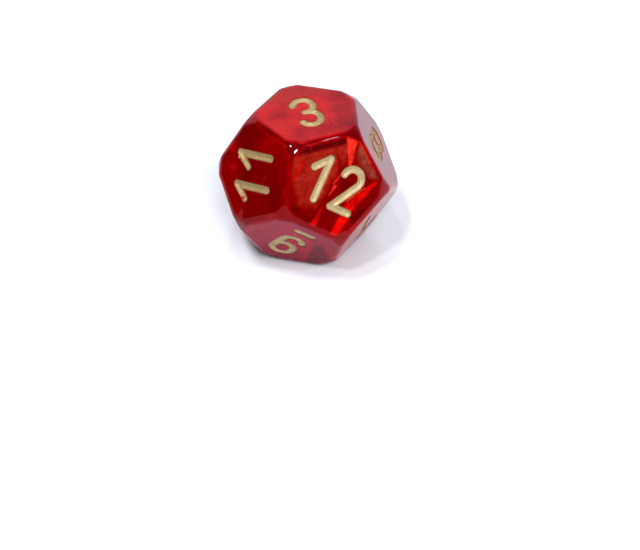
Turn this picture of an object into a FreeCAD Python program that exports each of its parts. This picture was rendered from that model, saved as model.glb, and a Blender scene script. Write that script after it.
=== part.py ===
"""Twelve-sided die: a cast resin dodecahedron with paint in its engraved numerals.

Millimetres.  The origin is the middle of the face the die rests on (the 10), +Z points
up through the opposite face (the 3), and the 12 faces -Y and upwards.
"""
import math
import os

import FreeCAD
import Part

V = FreeCAD.Vector

# ---- driving dimensions -------------------------------------------------------------
ACROSS_FLATS = 18.5      # between opposite faces
EDGE_R = 1.2             # rounding of the thirty edges
CORNER_R = 11.0          # the corners are tumbled down to this distance from the centre

CAP_HEIGHT = 5.15        # numeral height, measured between stroke centre lines
DIGIT_PITCH = 3.8        # between the two digits of 10, 11 and 12
NUMERAL_RISE = 0.2       # numerals sit this far above the middle of their face
BAR_DROP = 2.1           # underline of 6 and 9, below the digit's lowest centre line
BAR_LENGTH = 2.0

GROOVE_HALF = 0.55       # half the groove's width at the face
GROOVE_DEPTH = 0.45
FLOOR_HALF = 0.13        # half the width of the groove's flat floor
PAINT_RECESS = 0.05      # the paint's rim lies this far below the face
PAINT_RIM = 0.06         # thickness of the paint's rim
PAINT_FLOOR = 0.36       # depth of the middle of the paint
CUT_ABOVE = 0.6          # groove cutters reach this far above the face

INRADIUS = ACROSS_FLATS / 2
RING_TILT = math.atan(2.0)          # polar angle of the upper ring's normals


# ---- the twelve faces ---------------------------------------------------------------
def direction(polar, azimuth_deg):
    """Unit vector at a polar angle (radians) and an azimuth (degrees)."""
    a = math.radians(azimuth_deg)
    return V(math.sin(polar) * math.cos(a), math.sin(polar) * math.sin(a), math.cos(polar))


def face_normals():
    """Outward normal of every numbered face.

    Opposite faces add up to thirteen.  Seen from above the 3, the upper ring runs
    12, 11, 6, 4, 8 clockwise, and each lower face lies between two upper ones.
    """
    normals = {3: V(0, 0, 1), 10: V(0, 0, -1)}
    for k, number in enumerate((12, 11, 6, 4, 8)):
        normals[number] = direction(RING_TILT, -90 - 72 * k)
        normals[13 - number] = normals[number] * -1
    return normals


NORMALS = face_normals()

# Every numeral stands on the edge its face shares with this neighbour.
STANDS_ON = {3: 12, 8: 12, 7: 12, 9: 12, 11: 12, 2: 1, 4: 1, 6: 1, 5: 1, 10: 1, 12: 9, 1: 4}


def face_placement(number):
    """Placement with x to the numeral's right, y up the numeral and z out of the face."""
    out = NORMALS[number]
    neighbour = NORMALS[STANDS_ON[number]]
    up = (out * neighbour.dot(out) - neighbour).normalize()
    right = up.cross(out)
    centre = out * INRADIUS + V(0, 0, INRADIUS)
    matrix = FreeCAD.Matrix(
        right.x, up.x, out.x, centre.x,
        right.y, up.y, out.y, centre.y,
        right.z, up.z, out.z, centre.z,
        0, 0, 0, 1)
    return FreeCAD.Placement(matrix)


# ---- the blank ----------------------------------------------------------------------
def blank():
    """Dodecahedron with its corners tumbled to a sphere and every edge rounded."""
    size = 4 * ACROSS_FLATS
    solid = Part.makeSphere(CORNER_R)
    for out in NORMALS.values():
        slab = Part.makeBox(size, size, size, V(-size / 2, -size / 2, 0))
        slab.Placement = FreeCAD.Placement(out * INRADIUS, FreeCAD.Rotation(V(0, 0, 1), out))
        solid = solid.cut(slab)
    solid = solid.makeFillet(EDGE_R, solid.Edges)
    solid.translate(V(0, 0, INRADIUS))
    return solid


# ---- strokes ------------------------------------------------------------------------
def line(x0, y0, x1, y1):
    return ("line", (x0, y0), (x1, y1))


def arc(cx, cy, r, start_deg, end_deg):
    """Arc running counter-clockwise from one angle to the other."""
    return ("arc", (cx, cy), r, start_deg, end_deg)


def on_circle(centre, r, deg, z=0.0):
    a = math.radians(deg)
    return V(centre[0] + r * math.cos(a), centre[1] + r * math.sin(a), z)


def stroke_outline(stroke, half, z):
    """Closed outline of a round-ended stroke of the given half width."""
    if stroke[0] == "line":
        start, end = V(*stroke[1], z), V(*stroke[2], z)
        along = (end - start).normalize()
        left = V(-along.y, along.x, 0)
        corners = [start + left * half, start - left * half, end - left * half, end + left * half]
        middles = [start - along * half, None, end + along * half, None]
    else:
        _, centre, r, a0, a1 = stroke
        turn = V(0, 0, 1)
        start, end = on_circle(centre, r, a0, z), on_circle(centre, r, a1, z)
        out0 = on_circle((0, 0), 1, a0)
        out1 = on_circle((0, 0), 1, a1)
        mid = (a0 + a1) / 2
        corners = [start - out0 * half, start + out0 * half, end + out1 * half, end - out1 * half]
        middles = [start - turn.cross(out0) * half, on_circle(centre, r + half, mid, z),
                   end + turn.cross(out1) * half, on_circle(centre, r - half, mid, z)]
    edges = []
    for i, middle in enumerate(middles):
        a, b = corners[i], corners[(i + 1) % 4]
        edges.append(Part.LineSegment(a, b).toShape() if middle is None
                     else Part.Arc(a, middle, b).toShape())
    return Part.Wire(edges)


def stroke_solid(stroke, levels):
    """Solid between outlines of different half widths, given as (half, z) from the top."""
    pieces = []
    for (half0, z0), (half1, z1) in zip(levels, levels[1:]):
        wires = [stroke_outline(stroke, half0, z0), stroke_outline(stroke, half1, z1)]
        pieces.append(Part.makeLoft(wires, True, True))
    return pieces


def digit_solid(strokes, levels):
    pieces = [p for s in strokes for p in stroke_solid(s, levels)]
    solid = pieces[0] if len(pieces) == 1 else pieces[0].multiFuse(pieces[1:])
    return solid.removeSplitter()


def wall_half(depth):
    """Half width of the groove at a depth below the face."""
    return GROOVE_HALF + (FLOOR_HALF - GROOVE_HALF) * depth / GROOVE_DEPTH


GROOVE_LEVELS = [(GROOVE_HALF, CUT_ABOVE), (GROOVE_HALF, 0.0), (FLOOR_HALF, -GROOVE_DEPTH)]
FILL_LEVELS = [(wall_half(PAINT_RECESS), -PAINT_RECESS), (FLOOR_HALF, -GROOVE_DEPTH)]
SCOOP_HALF = wall_half(PAINT_RECESS) - PAINT_RIM
SCOOP_LEVELS = [(SCOOP_HALF, 0.1), (SCOOP_HALF, -PAINT_RECESS), (0.06, -PAINT_FLOOR)]


# ---- digits -------------------------------------------------------------------------
H = CAP_HEIGHT / 2


def tangent_deg(centre, r, px, py):
    """Angle on the circle where the line from an outside point touches it on the right."""
    dx, dy = px - centre[0], py - centre[1]
    return math.degrees(math.atan2(dy, dx) + math.acos(r / math.hypot(dx, dy)))


def oval(r, bottom, top):
    """Upright round-ended loop."""
    return [arc(0, top - r, r, 0, 180), arc(0, bottom + r, r, 180, 360),
            line(-r, top - r, -r, bottom + r), line(r, top - r, r, bottom + r)]


def one():
    return [line(0, H, 0, -H), line(0, H, -1.5, H - 1.6)]


def two():
    r = 1.15
    centre, corner = (0, H - r), (-1.2, -H)
    touch = tangent_deg(centre, r, *corner)
    end = on_circle(centre, r, touch)
    return [arc(*centre, r, touch, 172), line(end.x, end.y, *corner), line(*corner, 1.2, -H)]


def three():
    r, waist = 1.2, 0.05
    upper, lower = H - r, -H + r
    return [arc(0, upper, r, 0, 163), arc(0, waist + r, r, 270, 360),
            line(r, waist + r, r, upper), line(-0.2, waist, 0.1, waist),
            arc(0, waist - r, r, 0, 90), arc(0, lower, r, 198, 360)]


def four():
    return [line(0.75, H, 0.75, -H), line(0.75, H, -1.75, -H + 0.95),
            line(-1.75, -H + 0.95, 1.75, -H + 0.95)]


def five():
    r = 1.4
    return [line(1.05, H, -0.95, H), line(-0.95, H, -1.05, 0.0), arc(-0.1, -H + r, r, 205, 495)]


def six():
    r = 1.2
    return [arc(0, H - r, r, 17, 180), line(-r, H - r, -r, -H + r)] + oval(r, -H, 0.3)


def seven():
    return [line(-1.4, H, 1.3, H), line(1.3, H, -0.35, -H)]


def eight():
    return oval(1.15, 0.1, H) + oval(1.25, -H, 0.1)


def nine():
    return [turned(s) for s in six()]


def zero():
    return oval(1.0, -H, H)


def turned(stroke):
    """The stroke turned by half a turn about the digit's middle."""
    if stroke[0] == "line":
        return line(-stroke[1][0], -stroke[1][1], -stroke[2][0], -stroke[2][1])
    return arc(-stroke[1][0], -stroke[1][1], stroke[2], stroke[3] + 180, stroke[4] + 180)


def moved(strokes, dx, dy):
    out = []
    for s in strokes:
        if s[0] == "line":
            out.append(line(s[1][0] + dx, s[1][1] + dy, s[2][0] + dx, s[2][1] + dy))
        else:
            out.append(arc(s[1][0] + dx, s[1][1] + dy, *s[2:]))
    return out


DIGITS = {"0": zero, "1": one, "2": two, "3": three, "4": four,
          "5": five, "6": six, "7": seven, "8": eight, "9": nine}
DIGIT_SHIFT = {"1": 0.3}     # a 1 stands a little right of the middle of its space
WORDS = {"0": "zero", "1": "one", "2": "two", "3": "three", "4": "four",
         "5": "five", "6": "six", "7": "seven", "8": "eight", "9": "nine"}


def numeral_parts(number):
    """Stroke groups of a face's numeral: one per separate patch of paint."""
    text = str(number)
    parts = {}
    for i, digit in enumerate(text):
        dx = DIGIT_PITCH * (i - (len(text) - 1) / 2) + DIGIT_SHIFT.get(digit, 0)
        dy = NUMERAL_RISE + (BAR_DROP / 2 if text in ("6", "9") else 0)
        if len(text) == 1:
            name = "paint_%s" % WORDS[digit]
        else:
            name = "paint_%d_%s_digit" % (number, ("first", "second")[i])
        parts[name] = moved(DIGITS[digit](), dx, dy)
        if text in ("6", "9"):
            y = dy - H - BAR_DROP
            parts["paint_%s_underline" % WORDS[digit]] = [
                line(-BAR_LENGTH / 2, y, BAR_LENGTH / 2, y)]
    return parts


# ---- build --------------------------------------------------------------------------
def build():
    body = blank()
    shapes = {}
    for number in sorted(NORMALS):
        placement = face_placement(number)
        cutters = []
        for name, strokes in numeral_parts(number).items():
            cutters.append(digit_solid(strokes, GROOVE_LEVELS))
            scoop = digit_solid(strokes, SCOOP_LEVELS)
            paint = digit_solid(strokes, FILL_LEVELS).cut(scoop)
            paint.Placement = placement
            shapes[name] = paint
        for cutter in cutters:
            cutter.Placement = placement
            body = body.cut(cutter)
    shapes["die_body"] = body
    return shapes


os.makedirs("parts", exist_ok=True)
for name, shape in build().items():
    if len(shape.Solids) != 1 or not shape.isValid():
        raise ValueError("%s: %d solids, valid %s" % (name, len(shape.Solids), shape.isValid()))
    shape.Solids[0].exportStep(os.path.join("parts", name + ".step"))
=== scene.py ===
import math

import bpy
from mathutils import Matrix, Vector


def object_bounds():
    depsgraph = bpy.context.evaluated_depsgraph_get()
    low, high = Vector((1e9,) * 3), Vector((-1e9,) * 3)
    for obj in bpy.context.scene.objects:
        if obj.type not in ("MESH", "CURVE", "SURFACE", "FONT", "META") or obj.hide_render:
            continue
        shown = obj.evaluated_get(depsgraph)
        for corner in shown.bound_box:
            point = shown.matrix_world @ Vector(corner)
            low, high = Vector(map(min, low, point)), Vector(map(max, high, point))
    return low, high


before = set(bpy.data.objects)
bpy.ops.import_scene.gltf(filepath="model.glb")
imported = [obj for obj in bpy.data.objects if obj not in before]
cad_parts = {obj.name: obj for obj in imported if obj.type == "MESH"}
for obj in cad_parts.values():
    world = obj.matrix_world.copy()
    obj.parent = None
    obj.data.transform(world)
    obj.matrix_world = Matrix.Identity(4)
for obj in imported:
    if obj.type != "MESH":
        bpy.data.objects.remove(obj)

CAD_BOX = [list(corner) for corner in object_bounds()]
scene = bpy.context.scene
MM_PER_M = 1000
CM_PER_MM = 0.1


# ---- node helpers -------------------------------------------------------------------
class Tree:
    """Short hand for building the nodes of a material or of the world."""

    def __init__(self, owner, output="ShaderNodeOutputMaterial"):
        owner.use_nodes = True
        self.tree = owner.node_tree
        self.tree.nodes.clear()
        self.out = self.add(output)

    def add(self, kind, **settings):
        node = self.tree.nodes.new(kind)
        for key, value in settings.items():
            setattr(node, key, value)
        return node

    def link(self, source, target):
        self.tree.links.new(source, target)

    def feed(self, socket, value):
        """Link another node's output to a socket, or set the socket to a plain value."""
        if isinstance(value, bpy.types.NodeSocket):
            self.link(value, socket)
        elif socket.type == "RGBA" and len(value) == 3:
            socket.default_value = (*value, 1)
        else:
            socket.default_value = value

    def mapping(self, vector, scale, rotation=(0, 0, 0)):
        node = self.add("ShaderNodeMapping")
        node.inputs["Scale"].default_value = scale
        node.inputs["Rotation"].default_value = rotation
        self.link(vector, node.inputs["Vector"])
        return node.outputs["Vector"]

    def place(self):
        """Object coordinates in millimetres."""
        where = self.add("ShaderNodeTexCoord")
        return self.mapping(where.outputs["Object"], [MM_PER_M] * 3)

    def noise(self, vector, scale, detail, rough=0.5, distortion=0.0, output="Fac"):
        node = self.add("ShaderNodeTexNoise")
        node.inputs["Scale"].default_value = scale
        node.inputs["Detail"].default_value = detail
        node.inputs["Roughness"].default_value = rough
        node.inputs["Distortion"].default_value = distortion
        self.link(vector, node.inputs["Vector"])
        return node.outputs[output]

    def ramp(self, fac, stops):
        """Colour that changes with a number. A stop is a number and its colour or its grey."""
        node = self.add("ShaderNodeValToRGB")
        points = node.color_ramp.elements
        while len(points) < len(stops):
            points.new(0.5)
        for point, (at, colour) in zip(points, stops):
            point.position = at
            point.color = (*colour, 1) if isinstance(colour, tuple) else (colour, colour, colour, 1)
        self.link(fac, node.inputs["Fac"])
        return node.outputs["Color"]

    def math(self, op, a, b=0.0, c=0.0, clamp=False):
        node = self.add("ShaderNodeMath", operation=op, use_clamp=clamp)
        for socket, value in zip(node.inputs, (a, b, c)):
            self.feed(socket, value)
        return node.outputs[0]

    def vector(self, op, a, b, c=(0, 0, 0)):
        node = self.add("ShaderNodeVectorMath", operation=op)
        for socket, value in zip(node.inputs, (a, b, c)):
            self.feed(socket, value)
        return node.outputs["Value" if op in ("DOT_PRODUCT", "DISTANCE") else "Vector"]

    def dot(self, a, b):
        return self.vector("DOT_PRODUCT", a, b)

    def mix(self, fac, a, b, blend="MIX"):
        node = self.add("ShaderNodeMix", data_type="RGBA", blend_type=blend)
        for index, value in ((0, fac), (6, a), (7, b)):
            self.feed(node.inputs[index], value)
        return node.outputs[2]

    def principled(self, base, settings):
        """Principled surface with a base colour and other inputs by name."""
        node = self.add("ShaderNodeBsdfPrincipled")
        self.feed(node.inputs["Base Color"], base)
        for name, value in settings.items():
            self.feed(node.inputs[name], value)
        self.link(node.outputs[0], self.out.inputs["Surface"])


# ---- the die's faces ----------------------------------------------------------------
# The die stands on the floor with the 3 on top. Places are in millimetres. The functions reach
# and height give centimetres, because a ramp runs from nought to one: the faces are 0.925 from
# the centre, and only what lies beyond 0.924 is wholly flat.
INRADIUS = CAD_BOX[1][2] / 2 * MM_PER_M
CENTRE = Vector((0, 0, INRADIUS))


def around(k):
    """Outward normal of a face beside the 3, k steps of 72 degrees on from the 12."""
    tilt = math.atan(2)
    turn = math.radians(-90 + 72 * k)
    return Vector((math.sin(tilt) * math.cos(turn), math.sin(tilt) * math.sin(turn), math.cos(tilt)))


OUT_3 = Vector((0, 0, 1))
RING = [around(k) for k in range(5)]
OUT_12, OUT_8, OUT_11 = RING[0], RING[1], RING[4]
OUT_9 = -RING[2]


def numeral_axes(out, foot):
    """Right and up of the numeral on a face, standing on the edge shared with another face."""
    up = (out * foot.dot(out) - foot).normalized()
    return up.cross(out), up


def face_point(out, foot, x, y):
    """Point on a face, in millimetres right of and above the middle of its numeral's space."""
    right, up = numeral_axes(out, foot)
    return CENTRE + out * INRADIUS + right * x + up * y


def reach(tree, middle, out):
    """Distance from the centre along a direction, in centimetres."""
    return tree.math("MULTIPLY", tree.dot(middle, out), CM_PER_MM)


def height(tree, middle):
    """Distance from the centre along the nearest face's direction, in centimetres."""
    widest = tree.math("ABSOLUTE", tree.dot(middle, OUT_3))
    for out in RING:
        widest = tree.math("MAXIMUM", widest, tree.math("ABSOLUTE", tree.dot(middle, out)))
    return tree.math("MULTIPLY", widest, CM_PER_MM)


def on_face(tree, middle, out):
    """One on the flat of a face, nought where it rounds off and beyond."""
    return tree.ramp(reach(tree, middle, out), [(0.915, 0.0), (0.924, 1.0)])


# ---- resin --------------------------------------------------------------------------
DEEP, DARK, MID = (0.11, 0.0, 0.0), (0.17, 0.0, 0.0), (0.25, 0.001, 0.001)
RED, BRIGHT, FLAME = (0.235, 0.002, 0.002), (0.70, 0.008, 0.006), (0.76, 0.060, 0.036)
BROWN, DULL, PAINTED_GLINT_ORANGE = (0.345, 0.035, 0.021), (0.265, 0.066, 0.046), (0.62, 0.075, 0.030)
CRIMSON, PLUM, WARM = (0.17, 0.006, 0.014), (0.10, 0.003, 0.024), (0.46, 0.008, 0.006)
# The 8's and the 9's tones on the next line carry a painted pale reflection of the floor besides
# their own colour.
SHADE, MAUVE_AND_REFLECTION, ROSE_AND_REFLECTION = (0.10, 0.001, 0.006), (0.175, 0.050, 0.064), (0.385, 0.005, 0.045)

# Sheets of pearl, and on the 11 and the 12 some painted shade, light and glints, as wedges on a
# face: colour; foot, right of and above the middle of the numeral; direction and half angle in
# degrees; where along that direction the wedge starts and ends; and how soft its edges are. Later
# sheets lie over earlier ones.
SHEETS_12 = [
    (RED, (-1.2, -6.4), 50, 60, 1.2, 14, 1.8),
    (BROWN, (-1.2, -6.4), 105, 24.5, 2.7, 14, 0.80),
    (DULL, (1.5, 1.5), 60, 40, 1.9, 7, 0.55),
    # Painted shade: a dark band along the top edge of the 12, beside the 3.
    (SHADE, (-5.3, 7.3), 306, 60, 3.0, 4.8, 0.50),
    (DARK, (1.3, -0.9), 50, 70, 0.1, 2.2, 0.6),
    (DEEP, (9.1, 6.5), 243, 5.0, 3.5, 11, 0.40),
    (DEEP, (0.2, -9.0), 86, 2.2, 3.4, 6.2, 0.25),
    (DEEP, (-2.6, 9.5), 296, 1.8, 4.0, 9.0, 0.30),
    (FLAME, (1.5, 1.3), 110, 9.5, 1.4, 5.6, 0.30),
    (FLAME, (-0.75, -3.2), 78, 2.5, 3.4, 5.0, 0.18),
    (FLAME, (-0.75, -4.6), 78, 2.9, 3.3, 4.9, 0.18),
    (BRIGHT, (-0.2, -2.2), 268, 9.5, 0.2, 3.5, 0.30),
    (BRIGHT, (1.4, -14.1), 82.5, 3.6, 8.4, 11.6, 0.25),
    (BRIGHT, (6.2, 5.4), 245, 5.4, 3.0, 8.4, 0.32),
    (WARM, (-5.4, -4.5), 82, 6.5, 2.6, 6.0, 0.50),
    # Painted glints: thin orange lines beside the strokes of the 2 and the 1, where the lit paint
    # shines into the resin.
    (PAINTED_GLINT_ORANGE, (4.5, 4.1), 247, 2.5, 2.4, 5.8, 0.18),
    (PAINTED_GLINT_ORANGE, (-1.06, -16.0), 90, 0.55, 13.8, 18.9, 0.14),
    (PAINTED_GLINT_ORANGE, (-4.25, -11.3), 57.3, 0.65, 12.3, 15.0, 0.12),
]
SHEETS_3 = [
    (CRIMSON, (2.3, 0.0), 348, 85, 0.1, 8, 1.2),
    (BROWN, (0.5, 9.5), 270, 45, 3.0, 7.3, 1.5),
    (PLUM, (4.1, 3.9), 234, 9.0, 0.3, 2.6, 0.45),
    (PLUM, (2.9, 2.6), 259, 3.5, 0.6, 6.5, 0.60),
    (PLUM, (6.0, -8.0), 115, 14, 1.5, 5.5, 1.0),
]
PAINTED_LIGHT_11 = [
    # Painted light: brighter red at the far edge of the 11, where light comes through the resin.
    (BRIGHT, (2.9, 6.0), 262, 24, 0.4, 2.4, 0.80),
    (BRIGHT, (0.3, 5.0), 270, 22, 0.4, 1.9, 0.60),
]
SHEETS_9 = [
    (PLUM, (-0.3, -6.4), 118.7, 10.5, 4.5, 12.2, 0.65),
]


def sheet_mask(tree, place, out, foot_face, foot, direction, half, start, end, soft):
    """One inside a wedge on a face, nought outside, with softened edges."""
    right, up = numeral_axes(out, foot_face)
    turn = math.radians(direction)
    along = right * math.cos(turn) + up * math.sin(turn)
    across = up * math.cos(turn) - right * math.sin(turn)
    here = tree.vector("SUBTRACT", place, face_point(out, foot_face, *foot))
    forth = tree.dot(here, along)
    aside = tree.math("ABSOLUTE", tree.dot(here, across))
    half_width = tree.math("MULTIPLY", forth, math.tan(math.radians(half)))
    inside = tree.math("SUBTRACT", half_width, aside)
    for limit in (tree.math("SUBTRACT", forth, start), tree.math("SUBTRACT", end, forth)):
        inside = tree.math("MINIMUM", inside, limit)
    return tree.math("DIVIDE", inside, soft, clamp=True)


def lay(tree, base, place, out, foot_face, sheets, strength):
    """The colour of a face with sheets laid over it: pearl, and on some faces painted shade, light
    and glints.
    """
    for tone, *shape in sheets:
        mask = sheet_mask(tree, place, out, foot_face, *shape)
        base = tree.mix(tree.math("MULTIPLY", mask, strength), base, tone)
    return base


def shards(tree, place):
    """Long flat cells of pearl across the whole casting, and the noise that veils them."""
    drift = tree.noise(place, 0.16, 2.0, output="Color")
    bent = tree.vector("MULTIPLY_ADD", drift, (5, 5, 5), place)
    flat = tree.mapping(bent, (0.06, 0.42, 0.20), rotation=(0.5, 0.35, 0.9))
    cells = tree.add("ShaderNodeTexVoronoi", feature="F1")
    cells.inputs["Scale"].default_value = 1.0
    tree.link(flat, cells.inputs["Vector"])
    split = tree.add("ShaderNodeSeparateColor")
    tree.link(cells.outputs["Color"], split.inputs[0])
    veil = tree.noise(flat, 1.6, 3.0, distortion=0.5)
    step = tree.math("MULTIPLY_ADD", split.outputs[0], 0.30, tree.math("MULTIPLY", veil, 0.80))
    colour = tree.ramp(step, [
        (0.36, (0.20, 0.0, 0.0)),
        (0.55, (0.32, 0.001, 0.001)),
        (0.70, (0.48, 0.003, 0.003)),
        (0.84, (0.72, 0.07, 0.03)),
    ])
    return colour, veil


def rippled(tree, place):
    """The place pushed about by up to 0.12 mm each way, so that the sheets' edges waver."""
    ripple = tree.noise(place, 0.8, 3.0, output="Color")
    pushed = tree.vector("MULTIPLY_ADD", ripple, (0.24, 0.24, 0.24), place)
    return tree.vector("SUBTRACT", pushed, (0.12, 0.12, 0.12))


def face_of_12(tree, place, wavy, veil):
    """Dark resin with sheets of pearl, painted shade and painted glints over it, all of it mottled.
    """
    dark = tree.mix(tree.ramp(veil, [(0.40, 0.0), (0.60, 1.0)]), DARK, MID)
    density = tree.ramp(tree.noise(wavy, 0.9, 4.0, rough=0.6), [(0.38, 0.55), (0.58, 1.0)])
    fan = lay(tree, dark, wavy, OUT_12, OUT_9, SHEETS_12, density)
    mottle = tree.ramp(tree.noise(place, 1.1, 3.0), [
        (0.36, (0.80, 0.72, 0.72)),
        (0.50, 0.89),
        (0.68, (0.98, 1.30, 1.12)),
    ])
    return tree.mix(1.0, fan, mottle, "MULTIPLY")


def resin_material():
    material = bpy.data.materials.new("resin_swirl")
    tree = Tree(material)
    place = tree.place()
    middle = tree.vector("SUBTRACT", place, CENTRE)
    wavy = rippled(tree, place)
    cloud = tree.noise(place, 0.16, 2.0)
    colour, veil = shards(tree, place)

    # Four faces with little of the shards, each in a tone that is partly painted light: the 3 on top
    # painted bright as if lit from above, the 11 dark as if in shade, and the dull 8 and rosy 9 with
    # a painted pale reflection of the floor.
    lit_3_tone = tree.ramp(cloud, [
        (0.38, (0.32, 0.007, 0.008)),
        (0.50, (0.46, 0.014, 0.014)),
        (0.62, (0.54, 0.022, 0.019)),
    ])
    lit_3_tone = lay(tree, lit_3_tone, wavy, OUT_3, OUT_12, SHEETS_3, 0.60)
    dark = tree.ramp(cloud, [(0.40, (0.19, 0.0, 0.0)), (0.60, (0.285, 0.0, 0.0))])
    dark = lay(tree, dark, wavy, OUT_11, OUT_12, PAINTED_LIGHT_11, 0.55)
    rosy = lay(tree, ROSE_AND_REFLECTION, wavy, OUT_9, OUT_12, SHEETS_9, 0.85)
    faces = [(OUT_3, lit_3_tone, 0.85), (OUT_11, dark, 0.92), (OUT_8, MAUVE_AND_REFLECTION, 0.80), (OUT_9, rosy, 0.85)]
    for out, tone, share in faces:
        colour = tree.mix(tree.math("MULTIPLY", on_face(tree, middle, out), share), colour, tone)
    colour = tree.mix(on_face(tree, middle, OUT_12), colour, face_of_12(tree, place, wavy, veil))

    # Painted shade: the rounded edges and corners, which bend the light away from the pearl, are
    # painted plain and dark, most of all on the side of the 12, which faces the camera. The higher
    # ones, beside the 3, are the darkest.
    edge_shade_mask = tree.ramp(height(tree, middle), [(0.910, 1.0), (0.924, 0.0)])
    front = tree.ramp(reach(tree, middle, Vector((0, -1, 0))), [(0.0, 0.25), (0.45, 0.93)])
    edge_shade_tone = tree.ramp(reach(tree, middle, OUT_3), [
        (0.72, (0.255, 0.0, 0.002)),
        (0.84, (0.135, 0.0, 0.004)),
    ])
    colour = tree.mix(tree.math("MULTIPLY", edge_shade_mask, front), colour, edge_shade_tone)

    glitter = tree.ramp(tree.noise(place, 7.0, 3.0), [(0.35, 0.82), (0.5, 1.0), (0.72, 1.35)])
    tree.principled(tree.mix(1.0, colour, glitter, "MULTIPLY"), {
        "IOR": 1.5,
        "Specular IOR Level": 0.24,
        "Specular Tint": (0.95, 0.90, 1.0),
        "Roughness": 0.035,
        "Transmission Weight": 0.3,
    })
    inside = tree.add("ShaderNodeVolumeAbsorption")
    inside.inputs["Color"].default_value = (0.93, 0.04, 0.03, 1)
    inside.inputs["Density"].default_value = 140.0
    tree.link(inside.outputs[0], tree.out.inputs["Volume"])
    return material


# ---- paint --------------------------------------------------------------------------
# Painted shade colour for the rim of the grooves.
GROOVE_EDGE_SHADE = (0.16, 0.055, 0.018)
BARE_RESIN = (0.42, 0.012, 0.006)
CHIP_PLACE = (-3.05, 1.50)
# Painted shade on the paint, face by face.
PAINT_SHADE_BY_FACE = [
    (OUT_3, (0.84, 0.81, 0.74)),
    (OUT_8, (0.76, 0.71, 0.64)),
    (OUT_11, (0.89, 0.82, 0.70)),
]


def paint_material():
    material = bpy.data.materials.new("gold_paint_fill")
    tree = Tree(material)
    place = tree.place()
    middle = tree.vector("SUBTRACT", place, CENTRE)
    grain = tree.noise(place, 9.0, 3.0)
    patch = tree.noise(place, 1.3, 2.0)
    gold = tree.ramp(grain, [
        (0.3, (0.35, 0.27, 0.15)),
        (0.5, (0.52, 0.43, 0.27)),
        (0.7, (0.71, 0.62, 0.44)),
    ])
    gold = tree.mix(tree.ramp(patch, [(0.4, 0.0), (0.7, 0.4)]), gold, (0.35, 0.26, 0.13))
    # Painted shade: dark along the rim of the groove, where the paint meets the resin.
    groove_shade = tree.ramp(height(tree, middle), [(0.9130, 0.0), (0.9200, 0.80)])
    gold = tree.mix(groove_shade, gold, GROOVE_EDGE_SHADE)
    # A chip at the end of the flag of the 11's first digit shows the resin.
    chip = tree.vector("DISTANCE", place, face_point(OUT_11, OUT_12, *CHIP_PLACE))
    chip = tree.ramp(tree.math("MULTIPLY_ADD", grain, 0.35, chip), [(0.42, 1.0), (0.52, 0.0)])
    gold = tree.mix(chip, gold, BARE_RESIN)
    # Painted shade: the paint is made darker on the 3, the 8 and the 11, most of all on the 8.
    for out, painted_shade in PAINT_SHADE_BY_FACE:
        there = tree.ramp(reach(tree, middle, out), [(0.80, 0.0), (0.86, 1.0)])
        gold = tree.mix(there, gold, painted_shade, "MULTIPLY")
    bump = tree.add("ShaderNodeBump")
    bump.inputs["Strength"].default_value = 0.5
    bump.inputs["Distance"].default_value = 0.00003
    tree.link(grain, bump.inputs["Height"])
    tree.principled(gold, {"Metallic": 0.45, "Roughness": 0.55, "Normal": bump.outputs[0]})
    return material


# ---- smooth shading -----------------------------------------------------------------
CREASE_DEGREES = 28
WELD_M = 1e-6


def crease_group():
    """Geometry nodes that join split vertices and mark every edge above CREASE_DEGREES."""
    group = bpy.data.node_groups.new("creases", "GeometryNodeTree")
    for way in ("INPUT", "OUTPUT"):
        group.interface.new_socket("Geometry", in_out=way, socket_type="NodeSocketGeometry")
    nodes, links = group.nodes, group.links
    start, end = nodes.new("NodeGroupInput"), nodes.new("NodeGroupOutput")
    merge = nodes.new("GeometryNodeMergeByDistance")
    merge.inputs["Distance"].default_value = WELD_M
    smooth = nodes.new("GeometryNodeSetShadeSmooth")
    angle = nodes.new("GeometryNodeInputMeshEdgeAngle")
    compare = nodes.new("FunctionNodeCompare")
    compare.data_type, compare.operation = "FLOAT", "GREATER_THAN"
    compare.inputs[1].default_value = math.radians(CREASE_DEGREES)
    store = nodes.new("GeometryNodeStoreNamedAttribute")
    store.data_type, store.domain = "BOOLEAN", "EDGE"
    store.inputs["Name"].default_value = "sharp_edge"
    links.new(start.outputs[0], merge.inputs["Geometry"])
    links.new(merge.outputs[0], smooth.inputs["Geometry"])
    links.new(smooth.outputs[0], store.inputs["Geometry"])
    links.new(angle.outputs["Unsigned Angle"], compare.inputs[0])
    links.new(compare.outputs[0], store.inputs["Value"])
    links.new(store.outputs[0], end.inputs[0])
    return group


creases = crease_group()
resin = resin_material()
paint = paint_material()
for name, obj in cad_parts.items():
    obj.data.materials[0] = resin if name == "die_body" else paint
    obj.modifiers.new("creases", "NODES").node_group = creases
    # By corner angle first, which is right for the die's corners, then by area, which
    # keeps its faces flat.
    for mode in ("CORNER_ANGLE", "FACE_AREA"):
        weighted = obj.modifiers.new("weighted", "WEIGHTED_NORMAL")
        weighted.mode = mode
        weighted.keep_sharp = True


# ---- floor --------------------------------------------------------------------------
FLOOR_HALF_M = 4.0
FLOOR_DROP_M = 0.00002


def make_floor():
    """Plain pale square, a hair below the die so that the two don't share a surface."""
    mesh = bpy.data.meshes.new("floor")
    signs = ((-1, -1), (1, -1), (1, 1), (-1, 1))
    corners = [(x * FLOOR_HALF_M, y * FLOOR_HALF_M, 0) for x, y in signs]
    mesh.from_pydata(corners, [], [(0, 1, 2, 3)])
    floor = bpy.data.objects.new("floor", mesh)
    scene.collection.objects.link(floor)
    material = bpy.data.materials.new("floor_white")
    Tree(material).principled((0.62, 0.645, 0.69), {"Roughness": 0.55})
    mesh.materials.append(material)
    floor.location.z = -FLOOR_DROP_M


make_floor()

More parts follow.
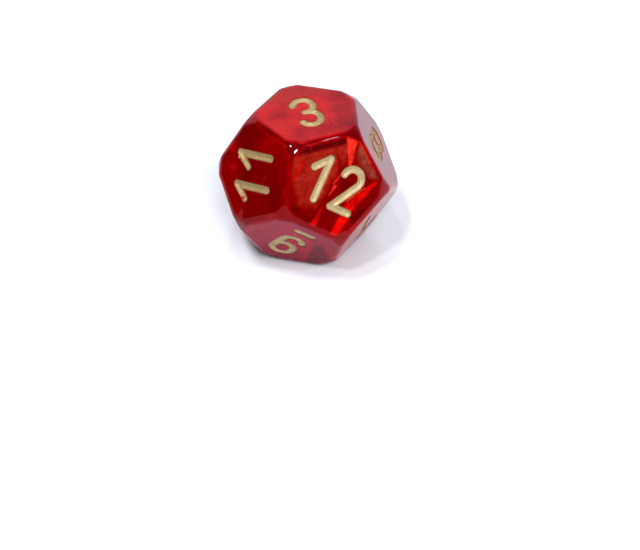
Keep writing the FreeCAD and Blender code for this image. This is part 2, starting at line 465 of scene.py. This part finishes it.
# ---- camera -------------------------------------------------------------------------
TURN = math.radians(-21.11)
PITCH = math.radians(39.20)
ROLL = math.radians(-0.73)
STAND_MM = Vector((1.26, -252.83, 199.68))
LENS_MM = 146.25
SENSOR_MM = 36


def make_camera():
    """Camera that looks down at the die, set up to face along Y and then turned about Z."""
    data = bpy.data.cameras.new("camera")
    data.sensor_width = SENSOR_MM
    data.lens = LENS_MM
    data.clip_start, data.clip_end = 0.01, 50
    camera = bpy.data.objects.new("camera", data)
    scene.collection.objects.link(camera)
    scene.camera = camera
    forward = Vector((0, math.cos(PITCH), -math.sin(PITCH)))
    right = Vector((1, 0, 0))
    up = right.cross(forward)
    rolled_right = right * math.cos(ROLL) + up * math.sin(ROLL)
    rolled_up = up * math.cos(ROLL) - right * math.sin(ROLL)
    basis = Matrix((rolled_right, rolled_up, -forward)).transposed().to_4x4()
    stand = Matrix.Translation(STAND_MM / MM_PER_M)
    camera.matrix_world = Matrix.Rotation(TURN, 4, "Z") @ stand @ basis


make_camera()

# ---- light --------------------------------------------------------------------------
AIM = Vector((0, 0, 0.009))
LAMP_DISTANCE_M = 0.9

# Name, azimuth and elevation in degrees, width in metres, watts. Azimuth 0 is at the camera,
# 90 to its right, 180 behind the die. These lamps show as highlights on the gloss.
MIRRORED_LAMPS = [
    ("catch_right", 64, 66, 0.035, 0.25),
    ("catch_left", 334, 62, 0.10, 1.8),
    ("catch_top", 246, 84, 0.065, 0.65),
    ("catch_small", 302, 66, 0.04, 0.20),
]
# These light the scene but don't show on the gloss.
HIDDEN_LAMPS = [
    ("key_front", 8, 42, 0.30, 4.0),
    ("key_left", 300, 70, 0.20, 2.9),
    ("key_right", 64, 73, 0.20, 0.5),
    ("fill_right", 62, 34, 0.40, 4.2),
    ("fill_back", 180, 40, 0.40, 0.9),
]


def lamp(name, azimuth, elevation, size, watts, mirrored):
    """Round area lamp that points at the die."""
    turn = math.radians(azimuth) + TURN - math.pi / 2
    rise = math.radians(elevation)
    level = math.cos(rise)
    data = bpy.data.lights.new(name, "AREA")
    data.shape = "DISK"
    data.size = size
    data.energy = watts
    obj = bpy.data.objects.new(name, data)
    scene.collection.objects.link(obj)
    away = Vector((math.cos(turn) * level, math.sin(turn) * level, math.sin(rise)))
    obj.location = AIM + away * LAMP_DISTANCE_M
    obj.rotation_euler = (-away).to_track_quat("-Z", "Y").to_euler()
    obj.visible_glossy = mirrored


for row in MIRRORED_LAMPS:
    lamp(*row, mirrored=True)
for row in HIDDEN_LAMPS:
    lamp(*row, mirrored=False)

# ---- room ---------------------------------------------------------------------------
BRIGHT_SIDE = math.radians(69)


def make_world():
    """Three surroundings in one.

    The camera sees plain white, matt surfaces are lit by a dim even dome, and gloss and
    clear resin take in a room with one bright side, behind the die.
    """
    world = bpy.data.worlds.new("studio")
    scene.world = world
    world.cycles.sampling_method = "NONE"
    tree = Tree(world, "ShaderNodeOutputWorld")
    where = tree.add("ShaderNodeTexCoord").outputs["Generated"]
    toward = tree.dot(where, (math.cos(BRIGHT_SIDE), math.sin(BRIGHT_SIDE), 0))
    fade = tree.add("ShaderNodeMapRange", interpolation_type="SMOOTHSTEP")
    tree.link(toward, fade.inputs["Value"])
    limits = {"From Min": 0.20, "From Max": 0.75, "To Min": 0.005, "To Max": 1.0}
    for name, value in limits.items():
        fade.inputs[name].default_value = value

    def background(colour, strength):
        node = tree.add("ShaderNodeBackground")
        tree.feed(node.inputs["Color"], colour)
        tree.feed(node.inputs["Strength"], strength)
        return node.outputs[0]

    def choose(test, usual, other):
        node = tree.add("ShaderNodeMixShader")
        for socket, value in zip(node.inputs, (test, usual, other)):
            tree.link(value, socket)
        return node.outputs[0]

    room = background((0.9, 0.9, 1.0), fade.outputs[0])
    dome = background((0.93, 0.94, 1.0), 0.08)
    white = background((1.0, 1.0, 1.0), 1.05)
    ray = tree.add("ShaderNodeLightPath").outputs
    shown = choose(ray["Is Diffuse Ray"], room, dome)
    tree.link(choose(ray["Is Camera Ray"], shown, white), tree.out.inputs[0])


make_world()
scene.view_settings.view_transform = "Standard"
scene.view_settings.look = "High Contrast"
